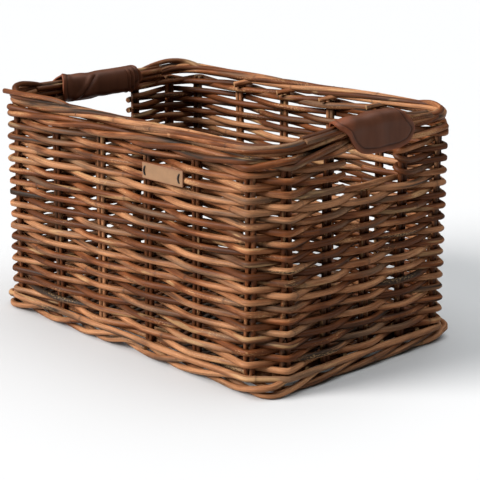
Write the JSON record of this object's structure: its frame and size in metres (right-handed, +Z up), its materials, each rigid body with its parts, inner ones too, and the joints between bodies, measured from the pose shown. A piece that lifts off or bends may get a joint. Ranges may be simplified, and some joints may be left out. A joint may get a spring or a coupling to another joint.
{
  "type": "bicycle basket",
  "caption": "Rectangular woven rattan bicycle basket with paired uprights, a twisted border and foot, hand holes in both ends with leather wraps over the rim, and a small tied label.",
  "frame": {"origin": "on the floor under the middle of the basket's box", "axes": "+X along the basket towards the right-hand end, -Y out of the front wall that carries the label, +Z up"},
  "size_m": [0.4522, 0.305, 0.2686],
  "materials": {
    "rattan_weavers": "unpeeled rattan rod, satin, mid to reddish brown with dark bark stretches and pale peeled patches",
    "rattan_uprights": "thin rattan rod, satin, grey brown",
    "rattan_rim": "thick rattan rod, satin, warm brown with dark nodes",
    "wrap_leather": "dark chocolate leather, semi-matt, with a pressed line inside the edge",
    "label_leather": "tan leather, matt, bare",
    "tie_cord": "dark waxed cord"
  },
  "bodies": {
    "root": {"stake_pair_back_1": "rattan_uprights", "stake_pair_back_2": "rattan_uprights", "stake_pair_back_3": "rattan_uprights", "stake_pair_back_4": "rattan_uprights", "stake_pair_back_5": "rattan_uprights", "stake_pair_back_6": "rattan_uprights", "stake_pair_left_1": "rattan_uprights", "stake_pair_left_2": "rattan_uprights", "stake_pair_left_3": "rattan_uprights", "stake_pair_left_4": "rattan_uprights", "stake_pair_left_5": "rattan_uprights", "stake_pair_front_1": "rattan_uprights", "stake_pair_front_2": "rattan_uprights", "stake_pair_front_3": "rattan_uprights", "stake_pair_front_4": "rattan_uprights", "stake_pair_front_5": "rattan_uprights", "stake_pair_front_6": "rattan_uprights", "stake_pair_right_1": "rattan_uprights", "stake_pair_right_2": "rattan_uprights", "stake_pair_right_3": "rattan_uprights", "stake_pair_right_4": "rattan_uprights", "stake_pair_right_5": "rattan_uprights", "weaver_1": "rattan_weavers", "weaver_2": "rattan_weavers", "weaver_3": "rattan_weavers", "weaver_4": "rattan_weavers", "weaver_5": "rattan_weavers", "weaver_6": "rattan_weavers", "weaver_7": "rattan_weavers", "weaver_8": "rattan_weavers", "weaver_9": "rattan_weavers", "weaver_10": "rattan_weavers", "upper_weaver_front": "rattan_weavers", "upper_weaver_back": "rattan_weavers", "rim_wale_outer": "rattan_rim", "rim_wale_inner": "rattan_rim", "base_wale": "rattan_rim", "border_rod_1": "rattan_rim", "border_rod_2": "rattan_rim", "border_rod_3": "rattan_rim", "border_rod_4": "rattan_rim", "border_rod_5": "rattan_rim", "foot_rod_1": "rattan_rim", "foot_rod_2": "rattan_rim", "foot_rod_3": "rattan_rim", "base_stick_1": "rattan_uprights", "base_stick_2": "rattan_uprights", "base_stick_3": "rattan_uprights", "base_stick_4": "rattan_uprights", "base_weaver": "rattan_weavers", "handle_wrap_right": "wrap_leather", "handle_wrap_left": "wrap_leather", "label": "label_leather", "label_tie_left": "tie_cord", "label_tie_right": "tie_cord"}
  },
  "joints": []
}
